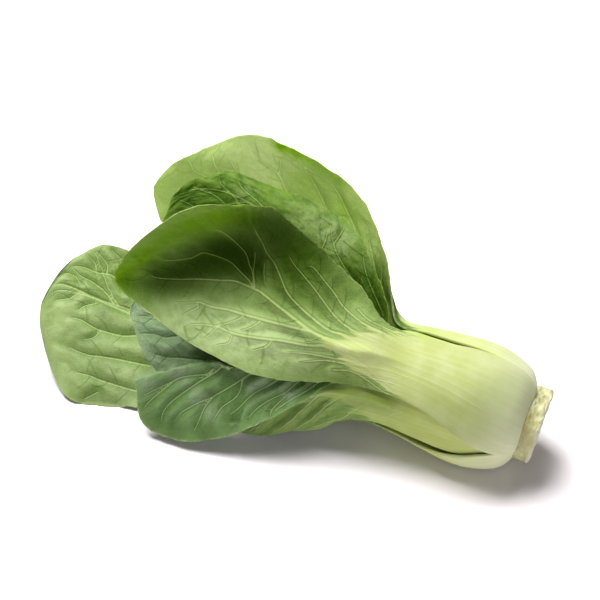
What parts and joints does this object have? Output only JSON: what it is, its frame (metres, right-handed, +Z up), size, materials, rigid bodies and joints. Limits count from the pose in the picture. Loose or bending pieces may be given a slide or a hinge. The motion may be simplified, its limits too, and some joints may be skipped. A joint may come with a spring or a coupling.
{
  "type": "bok choy",
  "caption": "Head of green-stemmed bok choy lying on its side: thick spoon-shaped pale stalks wrap a short cut stump and open out into thin, waved, veined green blades.",
  "frame": {"origin": "on the table, under the middle of the bounding box", "axes": "+Z up, X along the head as it lies, with the cut stump at +X and the leaf tips at -X"},
  "size_m": [0.2522, 0.1113, 0.1116],
  "materials": {
    "stump": "moist, fibrous vegetable flesh, matte",
    "front_leaf": "fresh leaf: thin waxy green blade on a pale crisp stalk, satin",
    "under_leaf": "fresh leaf: thin waxy green blade on a pale crisp stalk, satin",
    "back_leaf": "fresh leaf: thin waxy green blade on a pale crisp stalk, satin",
    "side_leaf": "fresh leaf: thin waxy green blade on a pale crisp stalk, satin",
    "far_leaf": "fresh leaf: thin waxy green blade on a pale crisp stalk, satin",
    "second_front_leaf": "fresh leaf: thin waxy green blade on a pale crisp stalk, satin",
    "low_leaf": "fresh leaf: thin waxy green blade on a pale crisp stalk, satin",
    "second_back_leaf": "fresh leaf: thin waxy green blade on a pale crisp stalk, satin",
    "heart_leaf_1": "fresh leaf: thin waxy green blade on a pale crisp stalk, satin",
    "heart_leaf_2": "fresh leaf: thin waxy green blade on a pale crisp stalk, satin",
    "heart_leaf_3": "fresh leaf: thin waxy green blade on a pale crisp stalk, satin"
  },
  "bodies": {
    "root": {"stump": "stump", "front_leaf": "front_leaf", "under_leaf": "under_leaf", "back_leaf": "back_leaf", "side_leaf": "side_leaf", "far_leaf": "far_leaf", "second_front_leaf": "second_front_leaf", "low_leaf": "low_leaf", "second_back_leaf": "second_back_leaf", "heart_leaf_1": "heart_leaf_1", "heart_leaf_2": "heart_leaf_2", "heart_leaf_3": "heart_leaf_3"}
  },
  "joints": []
}
